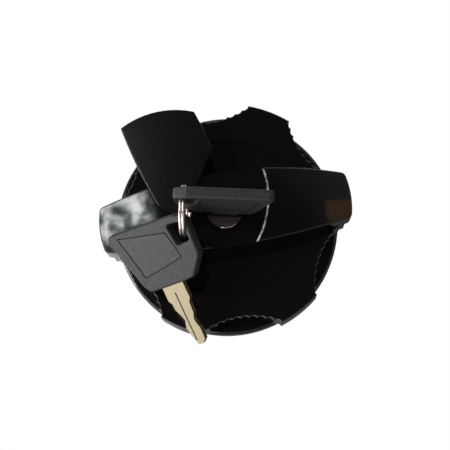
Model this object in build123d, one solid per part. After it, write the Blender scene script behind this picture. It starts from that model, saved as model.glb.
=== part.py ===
from build123d import *
from math import acos, asin, atan2, cos, degrees, radians, sin
import os

# Locking bayonet fuel filler cap with a star grip, a bar handle and two keys.
# Millimetres, +Z up. The origin is the centre of the flat bottom of the neck
# spigot, on the cap's axis, and +X runs along the bar handle. The lock cover is
# shown swung open, one key stands in the lock and its twin hangs beside it.

# ---------------------------------------------------------------- driving sizes
# heights of the stack above the rest face
FLANGE_TOP = 30.0          # top of the round flange
FLANGE_THICK = 3.0
STAR_RISE = 11.2           # star grip above the flange
FLOOR_RISE = 23.3          # recess floor round the lock, above the flange
HANDLE_RISE = 26.6         # crown of the bar handle, above the flange

# round flange
FLANGE_R = 40.0
FLANGE_EDGE = 1.4          # rounding of its rim
SKIRT_WALL = 2.0
SKIRT_DEPTH = 6.0

# six-lobed star grip
LOBES = 6
LOBE_R = 41.8              # radius over the lobes
SCALLOP_DEPTH = 5.8        # deepest point of a scallop, in from the lobes
LOBE_HALF_ANGLE = 10.8     # degrees
TEETH = 10                 # finger serrations in each scallop
TOOTH_DEPTH = 0.55
STAR_WALL = 2.4
RIB_THICK = 1.6            # ribs inside the star, from lock tube to lobe
RIB_RISE = 4.0             # their lower edge above the flange
STAR_BEVEL = 0.35
GROOVE_R = 27.6            # ring groove on the star's top
GROOVE_WIDTH = 0.8
GROOVE_DEPTH = 0.5

# bar handle, barrel-shaped from above and arched from the side
HANDLE_HALF_LENGTH = 43.8
HANDLE_HALF_WIDTH = 13.1
HANDLE_END_HALF_WIDTH = 7.9
HANDLE_END_BULGE = 1.0
HANDLE_END_DROP = 7.2      # how far the ends lie below the crown
HANDLE_CROSS_SAG = 0.7     # crown across the bar
HANDLE_CORNER = 2.0
HANDLE_EDGE = 0.6
HANDLE_WALL = 2.4

# swivelling lock cover
PIVOT_X = -16.4
PIVOT_Y = 6.2
COVER_BOSS_R = 5.7
COVER_TIP_R = 31.2         # from the pivot to the tip
COVER_GAP = 0.3            # to the walls of its recess
COVER_OPEN = 107.5         # degrees that it stands open
COVER_WASTE_R = 20.9       # corner of its slanted side, from the pivot
COVER_WASTE_ANGLE = -61.6
SEAM_BEVEL = 0.6           # along the wall that its tip closes against
COVER_LIFT = 0.05          # running gap above the recess floor
COVER_SPIGOT_R = 2.8
COVER_HUB = 4.4            # bearing boss below the recess floor
COVER_SCREW_R = 1.25
COVER_SCREW_HEAD = 1.6
COVER_WASHER_R = 3.4
COVER_WASHER_THICK = 0.6
COVER_SCREW_BITE = 0.6     # screw tip above the recess floor

# lock
LOCK_RIM_R = 6.4
PLUG_R = 5.45
PLUG_CLEARANCE = 0.05
LOCK_RIM_SINK = 0.25       # lock rim below the recess floor
PLUG_SINK = 0.3            # plug face below the rim
LOCK_TUBE_WALL = 2.2
LOCK_POCKET_R = 7.8        # shallow ring pocket round the rim
LOCK_POCKET_DEPTH = 1.2
HOUSING_FLANGE_R = 9.6
HOUSING_FLANGE_THICK = 3.6
WAFERS = 5
WAFER_PITCH = 2.6
WAFER_THICK = 0.9
WAFER_WIDTH = 5.0
WAFER_FIRST = 8.6          # first wafer above the housing's foot
WAFER_SLACK = 0.5          # window past the blade's edges
RIM_BEVEL = 0.35
TANG_R = 3.4
TANG_STEP = 0.6
TANG_FLAT = 2.0            # flat of the D-shaped tang, from the axis
TANG_BOTTOM = 10.2
CAM_SCREW_LENGTH = 8.0
CAM_SCREW_HEAD = 1.5
CAM_PINCH = 0.2            # tang shorter than the cam, so the screw grips it
PLUG_OVERHANG = 1.8        # plug below the housing's foot
CLIP_BRIM = 1.7            # plug clip past the plug

# key
KEY_THICK = 3.7
KEY_EDGE = 0.75
KEY_STAND = 2.5            # head above the recess floor
KEY_TURN = 11.5            # degrees that the key stands off the handle's line
BLADE_THICK = 1.9
BLADE_LENGTH = 22.0
SHOULDER_LENGTH = 7.0
SHOULDER_HALF = 4.3
BLADE_HALF = 3.35
BLADE_ROOT = 8.0           # how far the blade is moulded into the head
BLADE_GROOVE = 0.3
KEYWAY_SPARE = 0.5         # keyway past the blade's tip and shoulders
KEY_SLACK = 0.12
INLAY_DEPTH = 0.7
INLAY_GAP = 0.38           # open line round each inlay plate
HEAD_POINTS = ((-17.3, 23.0), (12.0, 21.9), (16.3, 19.6), (15.4, 6.6),
               (9.8, 0.3), (6.5, 0.0), (-8.6, 0.0), (-10.6, 2.4))
HEAD_ROUNDS = (1.8, 2.6, 2.2, 3.0, 1.5, 0.8, 0.9, 1.0)
INLAY_POINTS = ((-12.5, 21.3), (6.9, 17.5), (9.1, 7.7), (-8.1, 5.1))
HOLE_POINTS = ((8.2, 19.5), (14.4, 18.7), (14.3, 12.0), (9.2, 11.9))
INLAY_ROUND = 0.5
HOLE_ROUND = 0.9
HOLE_EDGE = 0.55

# split ring
RING_R = 8.82             # to the wire's centre line
RING_WIRE = 0.95
RING_TURNS = 1.96
RING_START = 294.2         # degrees, where the wire's end lies
RING_X = -13.33
RING_Y = -1.16
RING_RISE = 12.26           # centre above the recess floor
RING_HEADING = -11.3        # degrees, way the ring's axis points, seen from above
RING_TILT = 1.5           # degrees that the axis climbs

# twin key, leaning on the handle
TWIN_X = -20.51
TWIN_Y = -23.27
TWIN_RISE = 2.92            # blade root above the recess floor
TWIN_TILT = (27.0, -29.3, 18.6)

# neck spigot and its bayonet
SPIGOT_R = 27.5
SPIGOT_WALL = 2.6
COVER_CUP_HEIGHT = 6.0     # bottom cup of the spigot
COVER_CUP_FLOOR = 2.2
SPIGOT_LEAD_IN = 1.2
PLATE_THICK = 2.0
LUG_R = 32.0
LUG_HALF_WIDTH = 9.0
DECK_THICK = 3.0
WINDOW_LOW = 1.4           # cam window above the bayonet plate
WINDOW_HEIGHT = 4.6
CAM_THICK = 2.4
CAM_NOSE_R = 31.5
CAM_NOSE_HALF = 3.2
CAM_HUB_R = 6.5
CAM_TRAVEL = 90.0
WINDOW_MARGIN = 17.0       # degrees of window past the cam's centre line
PLATE_BORE = 12.0
PLATE_STEP = 0.8           # steel plate's edge inside the spigot's outline
CUP_RIM_BEVEL = 0.4        # upper edge of the bottom cup
CUP_SCREW_SEAT = 1.0       # under the cup screws' heads, above the cup's floor

# seal stack
GASKET_THICK = 3.0
GASKET_IN_R = 30.2
GASKET_OUT_R = 36.6
SEAL_FACE = 15.8           # gasket's sealing face above the rest face
PRESSURE_THICK = 1.2
PRESSURE_OUT_R = 37.2
SEAL_CLEARANCE = 0.3
CLIP_THICK = 1.0
CLIP_DEPTH = 0.8
CIRCLIP_INSET = 0.7        # circlip inside the gasket's hole
SPRING_WIRE = 1.6
SPRING_R = 32.5
SPRING_TURNS = 2.0
SPRING_CLEARANCE = 0.4

# vent in the bottom cup
VENT_Y = -12.0
VENT_R = 4.4
VENT_STEM_R = 1.2
VENT_LIP = 0.8
VENT_HOLES = 4
VENT_HOLE_R = 0.7

# screws
BODY_SCREW_CIRCLE = 20.5
BODY_SCREWS = 4
SCREW_BITE = 7.0           # thread length in the star's bosses
CUP_SCREW_CIRCLE = 22.0
CUP_SCREW_ANGLES = (30, 135, -120)
SCREW_R = 1.5
SCREW_HEAD_R = 2.9
SCREW_HEAD = 1.9
BOSS_WALL = 1.9
BOSS_HEIGHT = 10.0
FIT = 0.05                 # clearance of every close fit

# ---------------------------------------------------------------- worked out
star_top = FLANGE_TOP + STAR_RISE
scallop_r = LOBE_R - SCALLOP_DEPTH
floor_z = FLANGE_TOP + FLOOR_RISE
crown_z = FLANGE_TOP + HANDLE_RISE
flange_low = FLANGE_TOP - FLANGE_THICK
arch_r = (HANDLE_HALF_LENGTH ** 2 + HANDLE_END_DROP ** 2) / (2 * HANDLE_END_DROP)
cross_r = HANDLE_HALF_WIDTH ** 2 / (2 * HANDLE_CROSS_SAG)
pivot = Vector(PIVOT_X, PIVOT_Y, 0)
cover_axis = Axis((PIVOT_X, PIVOT_Y, 0), (0, 0, 1))
plate_z = COVER_CUP_HEIGHT
hub_z = plate_z + PLATE_THICK
deck_z = flange_low - DECK_THICK
tube_r = LOCK_RIM_R + LOCK_TUBE_WALL
housing_foot = flange_low
rim_z = floor_z - LOCK_RIM_SINK
plug_z = rim_z - PLUG_SINK
key_root = floor_z + KEY_STAND
step = 360 / LOBES
cam_rest = -CAM_TRAVEL
cam_top = TANG_BOTTOM + CAM_THICK - CAM_PINCH
plug_foot = housing_foot - PLUG_OVERHANG
clip_in_r = PLUG_R - CLIP_DEPTH
clip_out_r = PLUG_R + CLIP_BRIM
clip_z = housing_foot - CLIP_THICK - FIT
keyway = BLADE_THICK + 2 * KEY_SLACK
spigot_low = floor_z - COVER_HUB - COVER_LIFT
cover_screw_tip = floor_z + COVER_SCREW_BITE
cup_seat = COVER_CUP_FLOOR + CUP_SCREW_SEAT
vent_floor = COVER_CUP_FLOOR / 2
pressure_z = SEAL_FACE + GASKET_THICK
circlip_z = pressure_z - CLIP_THICK - FIT
circlip_out = GASKET_IN_R - CIRCLIP_INSET
spring_in = SPRING_R - SPRING_WIRE / 2
LOW = (Align.CENTER, Align.CENTER, Align.MIN)


def ring(r_out, r_in, z0, z1):
    """Plain ring between two heights."""
    body = extrude(Circle(r_out) - Circle(r_in), z1 - z0)
    return Pos(0, 0, z0) * body


def rod(r, z0, z1, x=0, y=0):
    """Upright round bar."""
    return Pos(x, y, z0) * extrude(Circle(r), z1 - z0)


def around(radius, angles):
    """Places on a circle."""
    return [Pos(radius * cos(radians(a)), radius * sin(radians(a)), 0) for a in angles]


def polar(radius, angle):
    return Vector(radius * cos(radians(angle)), radius * sin(radians(angle)), 0)


def rounded(points, radii):
    """Closed outline whose corners each have their own rounding."""
    count = len(points)
    edges = []
    ends = []
    for i in range(count):
        corner = Vector(*points[i])
        before = (Vector(*points[i - 1]) - corner).normalized()
        after = (Vector(*points[(i + 1) % count]) - corner).normalized()
        half = radians(before.get_angle(after)) / 2
        reach = radii[i] / (sin(half) / cos(half))
        middle = (before + after).normalized() * (radii[i] / sin(half) - radii[i])
        ends.append((corner + before * reach, corner + middle, corner + after * reach))
    for i in range(count):
        edges.append(ThreePointArc(*ends[i]))
        edges.append(Line(ends[i][2], ends[(i + 1) % count][0]))
    return make_face(Curve() + edges)


def scallop_circle(lobe_r, scallop_r, half_angle):
    """Centre distance and radius of the arc that hollows one scallop."""
    gap = step / 2 - half_angle
    px = lobe_r * cos(radians(gap))
    py = lobe_r * sin(radians(gap))
    centre = (px ** 2 + py ** 2 - scallop_r ** 2) / (2 * (px - scallop_r))
    return centre, centre - scallop_r, degrees(atan2(py, centre - px))


def star_outline(lobe_r, scallop_r, half_angle, teeth):
    """Star profile: round lobes and hollow scallops, serrated if teeth > 1."""
    centre, radius, sweep = scallop_circle(lobe_r, scallop_r, half_angle)
    edges = []
    for k in range(LOBES):
        mid = k * step
        edges.append(ThreePointArc(polar(lobe_r, mid - half_angle), polar(lobe_r, mid),
                                   polar(lobe_r, mid + half_angle)))
        heart = polar(centre, mid + step / 2)
        facing = mid + step / 2 + 180
        for i in range(teeth):
            start = facing + sweep - 2 * sweep * i / teeth
            end = facing + sweep - 2 * sweep * (i + 1) / teeth
            inward = TOOTH_DEPTH if teeth > 1 else 0
            edges.append(ThreePointArc(heart + polar(radius, start),
                                       heart + polar(radius + inward, (start + end) / 2),
                                       heart + polar(radius, end)))
    return make_face(Curve() + edges)


def handle_outline(inset):
    """Barrel-shaped plan of the bar handle."""
    length = HANDLE_HALF_LENGTH - HANDLE_END_BULGE - inset
    middle = HANDLE_HALF_WIDTH - inset
    end = HANDLE_END_HALF_WIDTH - inset
    bulge = HANDLE_HALF_LENGTH - inset
    edges = [ThreePointArc((-length, -end), (0, -middle), (length, -end)),
             ThreePointArc((length, -end), (bulge, 0), (length, end)),
             ThreePointArc((length, end), (0, middle), (-length, end)),
             ThreePointArc((-length, end), (-bulge, 0), (-length, -end))]
    face = make_face(Curve() + edges)
    return fillet(face.vertices(), HANDLE_CORNER)


def arch(drop):
    """Solid under the handle's crowned and arched top, lowered by drop."""
    top = crown_z - drop
    half = HANDLE_HALF_WIDTH + 2
    sag = half ** 2 / (2 * cross_r)
    axis_z = crown_z - arch_r
    section = Curve() + [ThreePointArc((0, -half, top - sag), (0, 0, top), (0, half, top - sag)),
                         Line((0, half, top - sag), (0, half, axis_z)),
                         Line((0, half, axis_z), (0, -half, axis_z)),
                         Line((0, -half, axis_z), (0, -half, top - sag))]
    swing = 2 * degrees(asin((HANDLE_HALF_LENGTH + 4) / arch_r))
    hub = Axis((0, 0, axis_z), (0, 1, 0))
    return revolve(make_face(section).rotate(hub, -swing / 2), hub, swing)


def cover_outline(grow):
    """Plan of the lock cover, closed: boss, slanted side and round tip."""
    waste = pivot + polar(COVER_WASTE_R + grow, COVER_WASTE_ANGLE)
    boss = COVER_BOSS_R + grow
    tip = COVER_TIP_R + grow
    reach = 2 * HANDLE_HALF_WIDTH
    tangent = pivot + polar(boss, COVER_WASTE_ANGLE - degrees(acos(boss / (COVER_WASTE_R + grow))))
    slant = Polygon((waste.X, waste.Y), (waste.X + reach, waste.Y - reach), (tip, -reach), (tip, reach),
                    (PIVOT_X - grow, reach), (PIVOT_X - grow, PIVOT_Y), (tangent.X, tangent.Y), align=None)
    return (slant & Pos(PIVOT_X, PIVOT_Y) * Circle(tip)) + Pos(PIVOT_X, PIVOT_Y) * Circle(boss)


def cover_sweep():
    """Plan of the recess: the cover's closed place and the way it swings."""
    plan = cover_outline(COVER_GAP)
    swung = (plan & offset(handle_outline(0), COVER_GAP)).rotate(cover_axis, COVER_OPEN)
    return plan + swung


# ---------------------------------------------------------------- cap moulding
def cap_body():
    """Star grip and bar handle, one hollow moulding."""
    star = Pos(0, 0, FLANGE_TOP) * extrude(star_outline(LOBE_R, scallop_r, LOBE_HALF_ANGLE, TEETH), STAR_RISE)
    star = chamfer(star.faces().sort_by(Axis.Z)[-1].edges(), STAR_BEVEL)
    star -= ring(GROOVE_R + GROOVE_WIDTH / 2, GROOVE_R - GROOVE_WIDTH / 2,
                 star_top - GROOVE_DEPTH, star_top)
    bar = Pos(0, 0, star_top - 0.5) * extrude(handle_outline(0), HANDLE_RISE)
    bar &= arch(0)
    bar = fillet(top_rim(bar), HANDLE_EDGE)
    bar -= Pos(0, 0, floor_z) * extrude(cover_sweep(), HANDLE_RISE)
    bar -= seam_bevel()
    body = star + bar

    hollow_star = star_outline(LOBE_R - STAR_WALL, scallop_r - TOOTH_DEPTH - STAR_WALL, LOBE_HALF_ANGLE, 1)
    body -= Pos(0, 0, FLANGE_TOP) * extrude(hollow_star, STAR_RISE - STAR_WALL)
    hollow_bar = Pos(0, 0, FLANGE_TOP) * extrude(handle_outline(HANDLE_WALL), FLOOR_RISE - HANDLE_WALL)
    body -= hollow_bar & arch(HANDLE_WALL)

    body += rod(tube_r, housing_foot + HOUSING_FLANGE_THICK, floor_z)
    boss_r = SCREW_R + BOSS_WALL
    for place in around(BODY_SCREW_CIRCLE, body_screw_angles()):
        body += place * rod(boss_r, FLANGE_TOP, star_top - STAR_WALL / 2)
    rib_plan = Rectangle(LOBE_R - tube_r - STAR_WALL, RIB_THICK, align=(Align.MIN, Align.CENTER))
    rib = Pos(0, 0, FLANGE_TOP + RIB_RISE) * extrude(rib_plan, STAR_RISE - STAR_WALL / 2 - RIB_RISE)
    for k in range(LOBES):
        body += Rot(0, 0, k * step) * Pos(tube_r - 0.5, 0, 0) * rib
    body += rod(COVER_BOSS_R - 1, floor_z - COVER_HUB, floor_z, PIVOT_X, PIVOT_Y)

    body -= rod(LOCK_RIM_R + FIT, FLANGE_TOP, floor_z)
    body -= rod(LOCK_POCKET_R, floor_z - LOCK_POCKET_DEPTH, floor_z)
    for place in around(BODY_SCREW_CIRCLE, body_screw_angles()):
        body -= place * rod(SCREW_R + FIT, FLANGE_TOP, star_top - STAR_WALL)
    body -= rod(COVER_SPIGOT_R + FIT, floor_z - COVER_HUB, floor_z, PIVOT_X, PIVOT_Y)
    return body


def seam_bevel():
    """Cutter that breaks the edge of the round wall facing the cover's tip."""
    inner = COVER_TIP_R + COVER_GAP
    low = crown_z - HANDLE_CROSS_SAG - SEAM_BEVEL
    cone = Pos(PIVOT_X, PIVOT_Y, low + inner / 2) * Cone(inner, inner * 2, inner)
    side = Pos(PIVOT_X + inner, PIVOT_Y, low + inner / 2) * Box(inner, inner * 2, inner)
    return cone & side


def top_rim(bar):
    """Edges where the handle's sides meet its arched top."""
    crown = bar.faces().sort_by(Axis.Z)[-1]
    return crown.edges()


def body_screw_angles():
    return [45 + i * 360 / BODY_SCREWS for i in range(BODY_SCREWS)]


# ---------------------------------------------------------------- lock cover
def lock_cover():
    """Swivelling cover, flush with the handle when closed, shown open."""
    plan = Pos(0, 0, floor_z + COVER_LIFT) * extrude(cover_outline(0), HANDLE_RISE)
    bar = Pos(0, 0, star_top) * extrude(handle_outline(0), HANDLE_RISE)
    plate = fillet(top_rim(bar & arch(0)), HANDLE_EDGE) & plan
    plate += rod(COVER_SPIGOT_R, spigot_low, floor_z + COVER_LIFT, PIVOT_X, PIVOT_Y)
    plate -= rod(COVER_SCREW_R + FIT, spigot_low, cover_screw_tip + FIT, PIVOT_X, PIVOT_Y)
    return plate.rotate(cover_axis, COVER_OPEN)


def cover_washer():
    low = spigot_low - COVER_WASHER_THICK
    return Pos(PIVOT_X, PIVOT_Y, 0) * ring(COVER_WASHER_R, COVER_SCREW_R + FIT, low, spigot_low)


def cover_screw():
    low = spigot_low - COVER_WASHER_THICK
    head = rod(COVER_SCREW_R * 2, low - COVER_SCREW_HEAD, low)
    head -= cross_recess(COVER_SCREW_R * 2, low - COVER_SCREW_HEAD)
    return Pos(PIVOT_X, PIVOT_Y, 0) * (head + rod(COVER_SCREW_R, low, cover_screw_tip))


# ---------------------------------------------------------------- flange
def base_flange():
    """Round flange under the star, skirted, with the lock's bore."""
    disc = rod(FLANGE_R, FLANGE_TOP - SKIRT_DEPTH, FLANGE_TOP)
    disc = fillet(disc.edges().group_by(Axis.Z)[-1], FLANGE_EDGE)
    disc -= rod(FLANGE_R - SKIRT_WALL, FLANGE_TOP - SKIRT_DEPTH, flange_low)
    low_rim = disc.edges().filter_by(GeomType.CIRCLE).group_by(Axis.Z)[0].sort_by(SortBy.RADIUS)[-1]
    disc = fillet(low_rim, SKIRT_WALL / 3)
    disc += ring(spring_in - SPRING_CLEARANCE, spring_in - SPRING_CLEARANCE - SPIGOT_WALL / 2,
                 flange_low - SPRING_WIRE, flange_low)
    disc -= rod(HOUSING_FLANGE_R + FIT, flange_low - SPRING_WIRE, FLANGE_TOP)
    for place in around(BODY_SCREW_CIRCLE, body_screw_angles()):
        disc -= place * rod(SCREW_R + FIT, flange_low, FLANGE_TOP)
    return disc


def body_screws():
    """Four self-tapping screws, up through hub and flange into the star."""
    screw = pan_screw(deck_z, FLANGE_TOP + SCREW_BITE)
    return Compound([place * screw for place in around(BODY_SCREW_CIRCLE, body_screw_angles())])


def pan_screw(under_head, tip):
    """Upright screw with its head below."""
    head = rod(SCREW_HEAD_R, under_head - SCREW_HEAD, under_head)
    head = fillet(head.edges().group_by(Axis.Z)[0], SCREW_HEAD / 3)
    head -= cross_recess(SCREW_HEAD_R, under_head - SCREW_HEAD)
    point = Pos(0, 0, tip - SCREW_R / 2) * Cone(SCREW_R, SCREW_R / 2, SCREW_R)
    return head + rod(SCREW_R, under_head, tip - SCREW_R) + point


def cross_recess(head_r, z):
    """Cross-shaped driver recess, cut upwards from z."""
    arm = Rectangle(head_r * 1.2, head_r / 3) + Rectangle(head_r / 3, head_r * 1.2)
    return Pos(0, 0, z) * extrude(arm, head_r / 2.5)


# ---------------------------------------------------------------- neck spigot
def insert_hub():
    """Round hub below the flange: wall, deck, cam window and screw bosses."""
    hub = ring(SPIGOT_R, SPIGOT_R - SPIGOT_WALL, hub_z, flange_low)
    hub += ring(SPIGOT_R - SPIGOT_WALL / 2, clip_out_r + FIT * 4, deck_z, flange_low)
    groove = ring(SPIGOT_R + 1, SPIGOT_R - CLIP_DEPTH, circlip_z - FIT, circlip_z + CLIP_THICK + FIT)
    hub -= groove
    for place in around(CUP_SCREW_CIRCLE, CUP_SCREW_ANGLES):
        hub += place * rod(SCREW_R + BOSS_WALL, hub_z, hub_z + BOSS_HEIGHT)
    for place in around(CUP_SCREW_CIRCLE, CUP_SCREW_ANGLES):
        hub -= place * rod(SCREW_R + FIT, hub_z, hub_z + BOSS_HEIGHT - BOSS_WALL)
    for place in around(BODY_SCREW_CIRCLE, body_screw_angles()):
        hub -= place * rod(SCREW_R + FIT, deck_z, flange_low)
    window = Pos(0, 0, hub_z + WINDOW_LOW) * extrude(sector(SPIGOT_R + 1, cam_rest - WINDOW_MARGIN,
                                                            cam_rest + CAM_TRAVEL + WINDOW_MARGIN),
                                                     WINDOW_HEIGHT)
    return hub - (window - rod(SPIGOT_R - SPIGOT_WALL - 1, hub_z, flange_low))


def sector(radius, first, last):
    """Pie slice between two angles in degrees."""
    edges = [Line((0, 0, 0), polar(radius, first)),
             ThreePointArc(polar(radius, first), polar(radius, (first + last) / 2), polar(radius, last)),
             Line(polar(radius, last), (0, 0, 0))]
    return make_face(Curve() + edges)


def bayonet_plate():
    """Steel plate under the hub whose two lugs catch the filler neck."""
    plan = Circle(SPIGOT_R - PLATE_STEP)
    plan += Circle(LUG_R) & Rectangle(2 * LUG_R, 2 * LUG_HALF_WIDTH)
    plan -= Circle(PLATE_BORE)
    for place in around(CUP_SCREW_CIRCLE, CUP_SCREW_ANGLES):
        plan -= place * Circle(SCREW_R + FIT)
    plate = Pos(0, 0, plate_z) * extrude(plan, PLATE_THICK)
    ramp = [e for e in plate.edges().filter_by(GeomType.CIRCLE) if abs(e.radius - LUG_R) < FIT]
    return chamfer(ramp, PLATE_THICK / 3)


def hub_cover():
    """Bottom cup of the spigot, with its flat rest face and vent."""
    cup = rod(SPIGOT_R, 0, COVER_CUP_HEIGHT)
    cup = chamfer(cup.edges().group_by(Axis.Z)[0], SPIGOT_LEAD_IN)
    cup = chamfer(cup.edges().group_by(Axis.Z)[-1], CUP_RIM_BEVEL)
    cup -= rod(SPIGOT_R - SPIGOT_WALL, COVER_CUP_FLOOR, COVER_CUP_HEIGHT)
    for place in around(CUP_SCREW_CIRCLE, CUP_SCREW_ANGLES):
        cup += place * rod(SCREW_HEAD_R + BOSS_WALL, COVER_CUP_FLOOR - FIT, COVER_CUP_HEIGHT)
    for place in around(CUP_SCREW_CIRCLE, CUP_SCREW_ANGLES):
        cup -= place * rod(SCREW_HEAD_R + FIT * 4, 0, cup_seat)
        cup -= place * rod(SCREW_R + FIT, cup_seat, COVER_CUP_HEIGHT)
    cup -= rod(VENT_R + BOSS_WALL, 0, vent_floor, 0, VENT_Y)
    cup -= rod(VENT_STEM_R, vent_floor, COVER_CUP_FLOOR, 0, VENT_Y)
    for place in around((VENT_STEM_R + VENT_R) / 2, [k * 360 / VENT_HOLES for k in range(VENT_HOLES)]):
        cup -= Pos(0, VENT_Y, 0) * place * rod(VENT_HOLE_R, vent_floor, COVER_CUP_FLOOR)
    return cup


def cup_screws():
    """Three screws from below through cup and bayonet plate into the hub."""
    screw = pan_screw(cup_seat, hub_z + BOSS_HEIGHT - BOSS_WALL - 1)
    return Compound([place * screw for place in around(CUP_SCREW_CIRCLE, CUP_SCREW_ANGLES)])


def vent_valve():
    """Rubber umbrella valve over the vent holes."""
    valve = rod(VENT_R, COVER_CUP_FLOOR, COVER_CUP_FLOOR + VENT_LIP)
    valve = chamfer(valve.edges().group_by(Axis.Z)[-1], VENT_LIP / 2)
    valve += rod(VENT_STEM_R, vent_floor, COVER_CUP_FLOOR)
    valve += rod(VENT_STEM_R * 1.6, vent_floor - VENT_LIP, vent_floor)
    return Pos(0, VENT_Y, 0) * valve


# ---------------------------------------------------------------- seal stack
def gasket():
    seal = ring(GASKET_OUT_R, GASKET_IN_R, SEAL_FACE, SEAL_FACE + GASKET_THICK)
    return fillet(seal.edges().group_by(Axis.Z)[0], GASKET_THICK / 5)


def pressure_plate():
    """Sprung ring that presses the gasket onto the neck."""
    plate = ring(PRESSURE_OUT_R, SPIGOT_R + SEAL_CLEARANCE, pressure_z, pressure_z + PRESSURE_THICK)
    return chamfer(plate.edges().group_by(Axis.Z)[-1], PRESSURE_THICK / 4)


def plate_circlip():
    """Open ring in the hub's groove that keeps the pressure plate on."""
    clip = ring(circlip_out, SPIGOT_R - CLIP_DEPTH + FIT, circlip_z, circlip_z + CLIP_THICK)
    gap = Pos(SPIGOT_R, 0, circlip_z) * Box(SPIGOT_WALL * 4, SPIGOT_WALL * 2, CLIP_THICK * 3)
    return clip - Rot(0, 0, 90) * gap


def pressure_spring():
    """Coil spring with closed ground ends between flange and pressure plate."""
    low = pressure_z + PRESSURE_THICK
    height = flange_low - low
    rise = height - SPRING_WIRE
    pitch = rise / SPRING_TURNS
    path = Pos(0, 0, low + SPRING_WIRE / 2) * Helix(pitch, rise, SPRING_R)
    wire = Circle(SPRING_WIRE / 2 - FIT)
    section = Plane(origin=path @ 0, z_dir=path % 0) * wire
    return sweep(section, path, is_frenet=True)


# ---------------------------------------------------------------- lock
def lock_housing():
    """Lock barrel: tube, visible rim and the flange clamped at its foot."""
    barrel = rod(LOCK_RIM_R, housing_foot, rim_z)
    barrel = chamfer(barrel.edges().group_by(Axis.Z)[-1], RIM_BEVEL)
    barrel += rod(HOUSING_FLANGE_R, housing_foot, housing_foot + HOUSING_FLANGE_THICK)
    return barrel - rod(PLUG_R + PLUG_CLEARANCE, housing_foot, rim_z)


def lock_plug():
    """Turning plug with keyway, wafer slots, clip groove and D tang."""
    plug = rod(PLUG_R, plug_foot, plug_z)
    plug = chamfer(plug.edges().group_by(Axis.Z)[-1], RIM_BEVEL)
    plug += rod(TANG_R, cam_top, plug_foot)
    plug += rod(TANG_R - TANG_STEP, TANG_BOTTOM, cam_top)
    plug -= Pos(TANG_FLAT, 0, TANG_BOTTOM) * Box(TANG_R, TANG_R * 2, cam_top - TANG_BOTTOM,
                                                 align=(Align.MIN, Align.CENTER, Align.MIN))
    plug -= rod(SCREW_R, TANG_BOTTOM, TANG_BOTTOM + CAM_SCREW_LENGTH)
    plug -= ring(PLUG_R + 1, clip_in_r, clip_z - FIT, clip_z + CLIP_THICK + FIT)
    width = 2 * (BLADE_HALF + KEY_SLACK * 2)
    deep = Pos(0, 0, key_root - BLADE_LENGTH - KEYWAY_SPARE) * Box(width, keyway, BLADE_LENGTH, align=LOW)
    mouth_z = key_root - SHOULDER_LENGTH - KEYWAY_SPARE
    mouth = Pos(0, 0, mouth_z) * Box(2 * (SHOULDER_HALF + KEY_SLACK), keyway, plug_z - mouth_z, align=LOW)
    plug -= Rot(0, 0, -KEY_TURN) * (deep + mouth)
    for z in wafer_heights():
        plug -= Rot(0, 0, -KEY_TURN) * Pos(0, 0, z - WAFER_THICK / 2 - FIT) * Box(
            PLUG_R * 3, WAFER_WIDTH + 2 * FIT, WAFER_THICK + 2 * FIT, align=LOW)
    return plug


def wafer_heights():
    return [housing_foot + WAFER_FIRST + WAFER_PITCH * i for i in range(WAFERS)]


def wafer(z):
    """Plate wafer with round ends and a window for the blade."""
    plan = Rectangle(PLUG_R * 3, WAFER_WIDTH) & Circle(PLUG_R)
    plan -= Rectangle(2 * (BLADE_HALF + WAFER_SLACK), keyway + 2 * FIT)
    return Rot(0, 0, -KEY_TURN) * Pos(0, 0, z - WAFER_THICK / 2) * extrude(plan, WAFER_THICK)


def plug_clip():
    """E-shaped clip under the housing's foot."""
    clip = ring(clip_out_r, clip_in_r + FIT, clip_z, clip_z + CLIP_THICK)
    mouth = Box(clip_out_r * 2, clip_in_r * 1.6, CLIP_THICK, align=(Align.MIN, Align.CENTER, Align.MIN))
    return clip - Pos(0, 0, clip_z) * mouth


def lock_cam():
    """Locking cam on the plug's tang, its nose through the hub's window."""
    nose = Rectangle(CAM_NOSE_R, 2 * CAM_NOSE_HALF, align=(Align.MIN, Align.CENTER))
    plan = (nose & Circle(CAM_NOSE_R)) + Circle(CAM_HUB_R)
    plan = Rot(0, 0, cam_rest) * plan
    plan -= Circle(TANG_R - TANG_STEP + FIT) - Pos(TANG_FLAT + FIT, 0) * Rectangle(
        TANG_R, TANG_R * 2, align=(Align.MIN, Align.CENTER))
    return Pos(0, 0, cam_top - CAM_THICK) * extrude(plan, CAM_THICK)


def cam_screw():
    under = cam_top - CAM_THICK
    head = rod(TANG_R * 1.3, under - CAM_SCREW_HEAD, under)
    head -= cross_recess(TANG_R, under - CAM_SCREW_HEAD)
    return head + rod(SCREW_R - FIT, under, TANG_BOTTOM + CAM_SCREW_LENGTH - 1)


# ---------------------------------------------------------------- keys
def blade_points():
    """Blade outline below the head: shoulders, cut edges and blunt tip."""
    half = BLADE_HALF
    right = [(SHOULDER_HALF, 0.27), (half, 0.33), (half * 0.92, 0.5), (half * 0.66, 0.6), (half * 0.7, 0.66),
             (half * 0.9, 0.75), (half * 0.88, 0.94), (half * 0.45, 1.0)]
    left = [(SHOULDER_HALF, 0.22), (half, 0.28), (half * 0.95, 0.38), (half * 0.62, 0.48), (half * 0.4, 0.58),
            (half * 0.66, 0.7), (half * 0.5, 0.82), (half * 0.3, 0.9), (half * 0.1, 1.0)]
    outline = [(x, -BLADE_LENGTH * y) for x, y in right]
    outline += [(-x, -BLADE_LENGTH * y) for x, y in reversed(left)]
    return [(SHOULDER_HALF, BLADE_ROOT)] + outline + [(-SHOULDER_HALF, BLADE_ROOT)]


def plate(face, thick):
    """Flat piece centred on its own plane."""
    return extrude(face, thick / 2, both=True)


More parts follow.
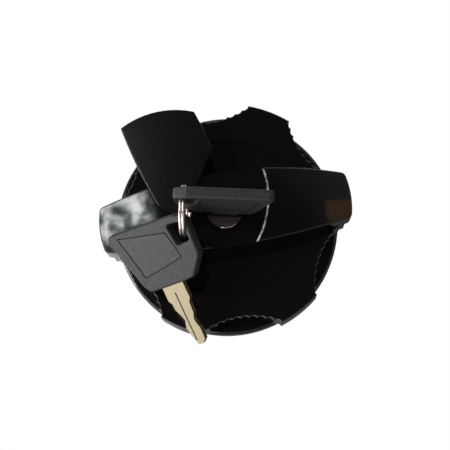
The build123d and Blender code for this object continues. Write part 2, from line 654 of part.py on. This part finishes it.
def blade():
    """Key blade with a lengthwise groove on each face."""
    steel = plate(Polygon(*blade_points(), align=None), BLADE_THICK)
    groove = Pos(BLADE_HALF * 0.1, -BLADE_LENGTH * 0.52) * Rectangle(BLADE_HALF * 0.5, BLADE_LENGTH * 0.8)
    for side in (-1, 1):
        steel -= Pos(0, 0, side * BLADE_THICK / 2) * plate(groove, BLADE_GROOVE * 2)
    return steel


def key_head():
    """Plastic head with its ring hole and a shallow inlay bed on each face."""
    head = plate(rounded(HEAD_POINTS, HEAD_ROUNDS), KEY_THICK)
    head = fillet(head.faces().filter_by(Axis.Z).edges(), KEY_EDGE)
    head -= plate(rounded(HOLE_POINTS, [HOLE_ROUND] * len(HOLE_POINTS)), KEY_THICK)
    rims = [wire.edges() for face in head.faces().filter_by(Axis.Z) for wire in face.inner_wires()]
    head = fillet([edge for rim in rims for edge in rim], HOLE_EDGE)
    bed = rounded(INLAY_POINTS, [INLAY_ROUND] * len(INLAY_POINTS))
    for side in (-1, 1):
        head -= Pos(0, 0, side * KEY_THICK / 2) * plate(bed, INLAY_DEPTH * 2)
    return head - Box(2 * SHOULDER_HALF, 2 * BLADE_ROOT, BLADE_THICK)


def inlay(side):
    """Plain plate let into one face of a key head."""
    face = offset(rounded(INLAY_POINTS, [INLAY_ROUND] * len(INLAY_POINTS)), -INLAY_GAP)
    sheet = plate(face, INLAY_DEPTH)
    return Pos(0, 0, side * (KEY_THICK - INLAY_DEPTH) / 2) * sheet


def key_place():
    """Where the working key stands in the plug."""
    turn = radians(KEY_TURN)
    across = Vector(-cos(turn), sin(turn), 0)
    facing = Vector(sin(turn), cos(turn), 0)
    return Plane(origin=(0, 0, key_root), x_dir=across, z_dir=facing).location


def twin_place():
    """Where the twin key hangs, leaning on the handle's edge."""
    return Location((TWIN_X, TWIN_Y, floor_z + TWIN_RISE), TWIN_TILT)


def split_ring():
    """Two close coils of spring wire through both key heads."""
    pitch = RING_WIRE + FIT
    path = Helix(pitch, pitch * RING_TURNS, RING_R)
    wire = sweep(Plane(origin=path @ 0, z_dir=path % 0) * Circle(RING_WIRE / 2), path, is_frenet=True)
    wire = Rot(0, 0, RING_START) * Pos(0, 0, -pitch * RING_TURNS / 2) * wire
    tilt = radians(RING_TILT)
    heading = radians(RING_HEADING)
    axis = Vector(cos(tilt) * cos(heading), cos(tilt) * sin(heading), sin(tilt))
    level = Vector(0, 0, 1).cross(axis)
    return Plane(origin=(RING_X, RING_Y, floor_z + RING_RISE), x_dir=level, z_dir=axis).location * wire


def write(name, shape):
    export_step(shape, f"parts/{name}.step")


def main():
    os.makedirs("parts", exist_ok=True)
    for make in (cap_body, base_flange, body_screws, insert_hub, bayonet_plate, hub_cover,
                 cup_screws, vent_valve, gasket, pressure_plate, plate_circlip, pressure_spring,
                 lock_housing, lock_plug, plug_clip, lock_cam, cam_screw, lock_cover,
                 cover_washer, cover_screw, split_ring):
        write(make.__name__, make())
    for i, z in enumerate(wafer_heights()):
        write(f"wafer_{i + 1}", wafer(z))
    pieces = {"blade": blade(), "head": key_head(), "inlay_front": inlay(1), "inlay_back": inlay(-1)}
    for owner, place in (("key", key_place()), ("twin", twin_place())):
        for name, shape in pieces.items():
            write(f"{owner}_{name}", place * shape)


main()
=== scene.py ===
import bmesh
import bpy
from mathutils import Matrix, Vector

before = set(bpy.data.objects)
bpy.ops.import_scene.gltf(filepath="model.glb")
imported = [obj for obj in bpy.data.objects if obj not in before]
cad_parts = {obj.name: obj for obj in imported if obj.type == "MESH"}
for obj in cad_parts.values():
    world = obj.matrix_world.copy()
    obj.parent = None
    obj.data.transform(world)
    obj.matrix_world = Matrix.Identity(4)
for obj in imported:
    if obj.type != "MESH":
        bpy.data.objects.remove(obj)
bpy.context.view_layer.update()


# ------------------------------------------------------------------ cap shell
# Star grip with its bar handle, and the round flange under it: two gloss black
# ABS mouldings, held together by four self-tapping screws from below.
MM = 0.001
# the seam, where a highlight is painted: an arc about the lock cover's pivot, broken along the handle's top
COVER_PIVOT = (-16.4, 6.2)
SEAM_RADIUS = 31.9
SEAM_HALF_WIDTH = 0.33
SEAM_BOTTOM = 55.2
SEAM_HIGHLIGHT_PITCH = 1.6


def linear(hex_code):
    """Linear RGBA of an sRGB hex code."""
    channels = [int(hex_code[i:i + 2], 16) / 255 for i in (1, 3, 5)]
    return (*(c / 12.92 if c <= 0.04045 else ((c + 0.055) / 1.055) ** 2.4 for c in channels), 1.0)


def per_mm(pitch):
    """Texture scale of a pattern that repeats every pitch millimetres."""
    return 1.0 / (pitch * MM)


def add(owner, kind, sockets=None, **settings):
    """Adds a node with its settings; a socket takes a value or the output that feeds it."""
    node = owner.node_tree.nodes.new("ShaderNode" + kind)
    for name, value in settings.items():
        setattr(node, name, value)
    for name, value in (sockets or {}).items():
        if isinstance(value, bpy.types.NodeSocket):
            owner.node_tree.links.new(value, node.inputs[name])
        else:
            node.inputs[name].default_value = value
    return node


def new_finish(name, colour, rough, metal=0.0, specular=0.5):
    """Starts a finish and returns it with its Principled node."""
    finish = bpy.data.materials.new(name)
    finish.use_nodes = True
    bsdf = finish.node_tree.nodes["Principled BSDF"]
    bsdf.inputs["Base Color"].default_value = linear(colour)
    bsdf.inputs["Roughness"].default_value = rough
    bsdf.inputs["Metallic"].default_value = metal
    bsdf.inputs["Specular IOR Level"].default_value = specular
    return finish, bsdf


def wear(finish, bsdf, pitch, low, high):
    """Handling marks: roughness that drifts between low and high, in patches of pitch mm."""
    where = add(finish, "TexCoord")
    noise = add(finish, "TexNoise", {"Vector": where.outputs["Object"], "Scale": per_mm(pitch),
                                     "Detail": 5.0, "Roughness": 0.6})
    span = add(finish, "MapRange", {"Value": noise.outputs["Fac"], "To Min": low, "To Max": high})
    finish.node_tree.links.new(span.outputs["Result"], bsdf.inputs["Roughness"])


def paint_seam_highlight(finish, bsdf, dark, highlight_tone):
    """Paints a pale highlight, broken into patches, on the edge along the arc that the lock cover's tip
    sweeps when it swings.
    """
    pivot = (*(MM * v for v in COVER_PIVOT), 0)
    where = add(finish, "TexCoord")
    place = add(finish, "SeparateXYZ", {"Vector": where.outputs["Object"]})
    flat = add(finish, "CombineXYZ", {"X": place.outputs["X"], "Y": place.outputs["Y"]})
    reach = add(finish, "VectorMath", {0: flat.outputs["Vector"], 1: pivot}, operation="DISTANCE")
    on_arc = add(finish, "Math", {0: reach.outputs["Value"], 1: SEAM_RADIUS * MM, 2: SEAM_HALF_WIDTH * MM},
                 operation="COMPARE")
    on_top = add(finish, "Math", {0: place.outputs["Z"], 1: SEAM_BOTTOM * MM}, operation="GREATER_THAN")
    seam = add(finish, "Math", {0: on_arc.outputs["Value"], 1: on_top.outputs["Value"]}, operation="MULTIPLY")
    highlight_patches = add(finish, "TexNoise", {"Vector": where.outputs["Object"], "Scale": per_mm(SEAM_HIGHLIGHT_PITCH),
                                     "Detail": 3.0, "Roughness": 0.6})
    highlight_share = add(finish, "MapRange", {"Value": highlight_patches.outputs["Fac"], "From Min": 0.3, "From Max": 0.6})
    amount = add(finish, "Math", {0: seam.outputs["Value"], 1: highlight_share.outputs["Result"]},
                 operation="MULTIPLY")
    blend = add(finish, "Mix", {0: amount.outputs["Value"], 6: linear(dark), 7: linear(highlight_tone)},
                data_type="RGBA")
    finish.node_tree.links.new(blend.outputs[2], bsdf.inputs["Base Color"])


def dress(finish, *names):
    """Gives CAD nodes their finish."""
    for name in names:
        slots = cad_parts[name].data.materials
        slots.clear()
        slots.append(finish)


# ABS from a polished mould: near-black and mirror-like, with a painted highlight along the seam
black_abs, bsdf = new_finish("black_abs", "#0a090a", 0.14, specular=0.45)
wear(black_abs, bsdf, pitch=14, low=0.04, high=0.09)
paint_seam_highlight(black_abs, bsdf, dark="#0a090a", highlight_tone="#d8d8d6")
dress(black_abs, "cap_body", "base_flange")

# Zinc-plated steel: light grey and slightly cloudy
zinc, bsdf = new_finish("zinc_plated_steel", "#a9abad", 0.32, metal=1.0)
wear(zinc, bsdf, pitch=5, low=0.25, high=0.42)
dress(zinc, "body_screws")


# ------------------------------------------------------------------ lock
# Chromed barrel with the turning plug, its five stamped wafers and the spring
# clip; the cam is a plated steel pressing on the plug's tang, held by a screw.

# Chromed zinc casting: bright, with a painted reflection: a faint warm tint in its colour for what it mirrors
chrome, bsdf = new_finish("chromed_zinc", "#c9bcbc", 0.12, metal=1.0)
wear(chrome, bsdf, pitch=4, low=0.08, high=0.2)
dress(chrome, "lock_housing", "lock_plug")

# Stamped brass: yellow, lightly brushed by the press tool
brass, bsdf = new_finish("stamped_brass", "#c9a860", 0.3, metal=1.0)
wear(brass, bsdf, pitch=2, low=0.24, high=0.36)
dress(brass, *(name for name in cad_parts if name.startswith("wafer_")))

# Drawn spring steel: darker grey, oiled
spring_steel, bsdf = new_finish("spring_steel", "#85878a", 0.34, metal=1.0)
wear(spring_steel, bsdf, pitch=3, low=0.28, high=0.4)
dress(spring_steel, "plug_clip")
dress(zinc, "lock_cam", "cam_screw")


# ------------------------------------------------------------------ lock cover
# Swivelling lid of the handle's top, moulded in black acetal so that it slides;
# it turns on a plated screw with a spring washer under the recess floor.
def grain(finish, bsdf, pitch, height):
    """Moulded grain of height mm as a bump."""
    where = add(finish, "TexCoord")
    noise = add(finish, "TexNoise", {"Vector": where.outputs["Object"], "Scale": per_mm(pitch),
                                     "Detail": 3.0, "Roughness": 0.6})
    bump = add(finish, "Bump", {"Height": noise.outputs["Fac"], "Strength": 1.0, "Distance": height * MM})
    finish.node_tree.links.new(bump.outputs["Normal"], bsdf.inputs["Normal"])


def set_stops(ramp, stops):
    """Gives a colour ramp its stops, as pairs of place and sRGB hex."""
    elements = ramp.color_ramp.elements
    for _ in stops[2:]:
        elements.new(0.5)
    for element, (place, tone) in zip(elements, stops):
        element.position = place
        element.color = linear(tone)


def mottle(finish, bsdf, pitch, dark, light, low=0.35, high=0.65):
    """Slow change of colour between two tones."""
    where = add(finish, "TexCoord")
    noise = add(finish, "TexNoise", {"Vector": where.outputs["Object"], "Scale": per_mm(pitch),
                                     "Detail": 4.0, "Roughness": 0.55})
    ramp = add(finish, "ValToRGB", {"Fac": noise.outputs["Fac"]})
    set_stops(ramp, ((low, dark), (high, light)))
    finish.node_tree.links.new(ramp.outputs["Color"], bsdf.inputs["Base Color"])


# Acetal from an etched mould: satin black with fine lighter flecks. The etching
# is about 0.1 mm, and is drawn 0.45 mm wide so that it shows.
black_acetal, bsdf = new_finish("black_acetal", "#0d0b0a", 0.34, specular=0.2)
mottle(black_acetal, bsdf, 0.8, "#0d0b0a", "#26211e", low=0.54, high=0.76)
grain(black_acetal, bsdf, pitch=0.45, height=0.02)
dress(black_acetal, "lock_cover")
dress(spring_steel, "cover_washer")
dress(zinc, "cover_screw")


# ------------------------------------------------------------------ neck spigot
# Hub and bottom cup that enter the filler neck, glass-filled nylon mouldings,
# with the plated lug plate clamped between them and a rubber vent valve below.

# Glass-filled nylon: matt black, faintly grained by the fibres, drawn coarser
# than they are so that they show
black_nylon, bsdf = new_finish("black_nylon", "#1a1a1b", 0.5, specular=0.35)
grain(black_nylon, bsdf, pitch=0.6, height=0.02)
dress(black_nylon, "insert_hub", "hub_cover")
dress(zinc, "bayonet_plate", "cup_screws")

# Nitrile rubber: dull black
nitrile, bsdf = new_finish("nitrile_rubber", "#1d1d1e", 0.75, specular=0.25)
grain(nitrile, bsdf, pitch=0.8, height=0.03)
dress(nitrile, "vent_valve")


# ------------------------------------------------------------------ seal
# Flat rubber ring under a nylon pressure plate that a coil spring pushes down
# against the rim of the neck; a circlip keeps the plate on the hub.
dress(nitrile, "gasket")
dress(black_nylon, "pressure_plate")
dress(spring_steel, "plate_circlip", "pressure_spring")


# ------------------------------------------------------------------ keys and ring
# Two keys on a split ring: milled nickel silver blades in dark grey nylon heads,
# each with a bare lighter inlay plate pressed into both of its faces.

# Nickel silver, cut and deburred: pale champagne
nickel_silver, bsdf = new_finish("nickel_silver", "#857b67", 0.3, metal=1.0)
wear(nickel_silver, bsdf, pitch=1.5, low=0.26, high=0.4)
dress(nickel_silver, "key_blade", "twin_blade")

# Glass-filled nylon, eroded mould: dark grey with a fine grain. The grain is
# about 0.15 mm, and is drawn 0.6 mm wide so that it shows.
grey_nylon, bsdf = new_finish("grey_nylon", "#2b2c2c", 0.48, specular=0.3)
mottle(grey_nylon, bsdf, 1.2, "#232424", "#333434")
grain(grey_nylon, bsdf, pitch=0.6, height=0.05)
dress(grey_nylon, "key_head", "twin_head")

# The inlays' nylon: a shade lighter than the heads
inlay_nylon, bsdf = new_finish("inlay_nylon", "#2f3031", 0.46, specular=0.3)
mottle(inlay_nylon, bsdf, 1.2, "#282929", "#373838")
grain(inlay_nylon, bsdf, pitch=0.6, height=0.05)
dress(inlay_nylon, *(f"{key}_inlay_{side}" for key in ("key", "twin") for side in ("front", "back")))

# Nickel-plated spring wire: bright with a rosy cast
nickel, bsdf = new_finish("nickel_plate", "#e2cfc8", 0.16, metal=1.0)
wear(nickel, bsdf, pitch=2, low=0.12, high=0.22)
dress(nickel, "split_ring")


# ------------------------------------------------------------------ floor
# A pale card that shows plain white to the camera, with painted shade that dims its
# colour at the front right for the flange's edge to mirror. It lies lower than the part
# stands and is clear from below, so that the underside is lit and seen.
FLOOR_HALF = 3000
FLOOR_DROP = 30
# painted shade: the card's colour falls from pale to dim towards the front right
SHADE_PAINTED_TOWARD = (0.6, -0.8, 0.0)
PALE_UP_TO, SHADE_PAINTED_FROM = -25, 15
PALE, SHADE_PAINTED_TONE = 0.9, 0.15
floor_mesh = bpy.data.meshes.new("floor")
floor_bm = bmesh.new()
bmesh.ops.create_grid(floor_bm, x_segments=1, y_segments=1, size=FLOOR_HALF * MM)
floor_bm.to_mesh(floor_mesh)
floor_bm.free()
floor = bpy.data.objects.new("floor", floor_mesh)
floor.location.z = -FLOOR_DROP * MM
bpy.context.scene.collection.objects.link(floor)

card, bsdf = new_finish("floor_card", "#f2f2f2", 0.7)
where = add(card, "TexCoord")
frontward = add(card, "VectorMath", {0: where.outputs["Object"], 1: SHADE_PAINTED_TOWARD}, operation="DOT_PRODUCT")
painted_floor_shade = add(card, "MapRange", {"Value": frontward.outputs["Value"], "From Min": PALE_UP_TO * MM,
                               "From Max": SHADE_PAINTED_FROM * MM, "To Min": PALE, "To Max": SHADE_PAINTED_TONE})
card.node_tree.links.new(painted_floor_shade.outputs["Result"], bsdf.inputs["Base Color"])
path = add(card, "LightPath")
white = add(card, "Emission", {"Color": (1, 1, 1, 1), "Strength": 1.0})
above = add(card, "MixShader", {0: path.outputs["Is Camera Ray"], 1: bsdf.outputs["BSDF"],
                                2: white.outputs["Emission"]})
side = add(card, "NewGeometry")
clear = add(card, "BsdfTransparent")
one_sided = add(card, "MixShader", {0: side.outputs["Backfacing"], 1: above.outputs["Shader"],
                                    2: clear.outputs["BSDF"]})
card_output = card.node_tree.nodes["Material Output"]
card.node_tree.links.new(one_sided.outputs["Shader"], card_output.inputs["Surface"])
floor_mesh.materials.append(card)


# ------------------------------------------------------------------ studio
# Bright low down and dim overhead, as gloss black needs, with one mottled window
# high on the left and a brown wall's corner on the right for it to mirror.
SKY_TONES = ((0.0, "#e6e6e8"), (0.3, "#f4f4f5"), (0.6, "#b9b8ba"), (0.9, "#564a4a"))
SKY_STRENGTH = 0.75
WINDOW_TONES = ((0.41, "#242a26"), (0.48, "#6f7a72"), (0.54, "#b6bdb8"), (0.60, "#ffffff"))
WINDOW_STRENGTH = 20.0
WINDOW_AIM = Vector((-0.60, 0.20, 0.77)).normalized()
WINDOW_RIM = (0.95, 0.985)
WINDOW_FRAME = (-0.37, -0.45)
CLOUD_SCALE = 9.0
WALL_TONE = "#d0a27c"
WALL_STRENGTH = 1.15
WALL_X = (0.632, 0.078)
WALL_Y = (0.13, 0.06)

world = bpy.data.worlds.new("studio")
bpy.context.scene.world = world
world.use_nodes = True
where = add(world, "TexCoord")
toward = add(world, "SeparateXYZ", {"Vector": where.outputs["Generated"]})
climb = add(world, "ValToRGB", {"Fac": toward.outputs["Z"]})
set_stops(climb, SKY_TONES)
sky = add(world, "Background", {"Color": climb.outputs["Color"], "Strength": SKY_STRENGTH})

# the window: clouds and leaves behind glass, cut off straight by its frame
near_aim = add(world, "VectorMath", {0: where.outputs["Generated"], 1: WINDOW_AIM}, operation="DOT_PRODUCT")
soft_edge = add(world, "MapRange", {"Value": near_aim.outputs["Value"], "From Min": WINDOW_RIM[0],
                                    "From Max": WINDOW_RIM[1]})
frame_edge = add(world, "MapRange", {"Value": toward.outputs["X"], "From Min": WINDOW_FRAME[0],
                                     "From Max": WINDOW_FRAME[1]})
opening = add(world, "Math", {0: soft_edge.outputs["Result"], 1: frame_edge.outputs["Result"]},
              operation="MULTIPLY")
clouds = add(world, "TexNoise", {"Vector": where.outputs["Generated"], "Scale": CLOUD_SCALE,
                                 "Detail": 6.0, "Roughness": 0.62, "Distortion": 0.7})
patches = add(world, "ValToRGB", {"Fac": clouds.outputs["Fac"]})
set_stops(patches, WINDOW_TONES)
glare = add(world, "Background", {"Color": patches.outputs["Color"], "Strength": WINDOW_STRENGTH})
with_window = add(world, "MixShader", {0: opening.outputs["Value"], 1: sky.outputs["Background"],
                                       2: glare.outputs["Background"]})

# the wall's corner, a small oblong: its middle and half its width, both ways
across = add(world, "Math", {0: toward.outputs["X"], 1: WALL_X[0], 2: WALL_X[1]}, operation="COMPARE")
along = add(world, "Math", {0: toward.outputs["Y"], 1: WALL_Y[0], 2: WALL_Y[1]}, operation="COMPARE")
corner = add(world, "Math", {0: across.outputs["Value"], 1: along.outputs["Value"]}, operation="MULTIPLY")
brown = add(world, "Background", {"Color": linear(WALL_TONE), "Strength": WALL_STRENGTH})
with_wall = add(world, "MixShader", {0: corner.outputs["Value"], 1: with_window.outputs["Shader"],
                                     2: brown.outputs["Background"]})

# past the floor's edge the camera sees plain white
seen = add(world, "LightPath")
plain = add(world, "Background", {"Color": (1, 1, 1, 1), "Strength": 1.0})
backdrop = add(world, "MixShader", {0: seen.outputs["Is Camera Ray"], 1: with_wall.outputs["Shader"],
                                    2: plain.outputs["Background"]})
world_output = world.node_tree.nodes["World Output"]
world.node_tree.links.new(backdrop.outputs["Shader"], world_output.inputs["Surface"])


def soft_box(name, at, toward, width, height, power):
    """Soft box lamp aimed at a point; places and sizes in mm, power in watts."""
    data = bpy.data.lights.new(name, "AREA")
    data.shape = "RECTANGLE"
    data.size = width * MM
    data.size_y = height * MM
    data.energy = power
    lamp = bpy.data.objects.new(name, data)
    aim = Vector(toward) - Vector(at)
    lamp.rotation_mode = "QUATERNION"
    lamp.rotation_quaternion = aim.to_track_quat("-Z", "Y")
    lamp.location = Vector(at) * MM
    bpy.context.scene.collection.objects.link(lamp)


soft_box("front_left", at=(-520, -520, 230), toward=(0, 0, 40), width=800, height=600, power=3.0)
soft_box("low_left", at=(-560, -60, 110), toward=(0, 0, 45), width=220, height=130, power=2.0)


# ------------------------------------------------------------------ camera
# A longish lens, looking steeply down from the front and turned a little about
# its own axis.
CAMERA_AT = (-0.23, -83.38, 421.21)
CAMERA_AIM = (-0.0013, 0.2079, -0.9781)
CAMERA_RIGHT = (0.9895, -0.1409, -0.0313)
FOCAL_LENGTH = 88.46
NEAREST = 10
camera_data = bpy.data.cameras.new("camera")
camera_data.sensor_width = 36.0
camera_data.sensor_fit = "HORIZONTAL"
camera_data.lens = FOCAL_LENGTH
camera_data.clip_start = NEAREST * MM
camera = bpy.data.objects.new("camera", camera_data)
bpy.context.scene.collection.objects.link(camera)
forward = Vector(CAMERA_AIM).normalized()
right = Vector(CAMERA_RIGHT)
right = (right - forward * right.dot(forward)).normalized()
up = right.cross(forward)
turn = Matrix((right, up, -forward)).transposed().to_4x4()
camera.matrix_world = Matrix.Translation(Vector(CAMERA_AT) * MM) @ turn
bpy.context.scene.camera = camera
bpy.context.scene.view_settings.view_transform = "Standard"
bpy.context.scene.view_settings.look = "None"
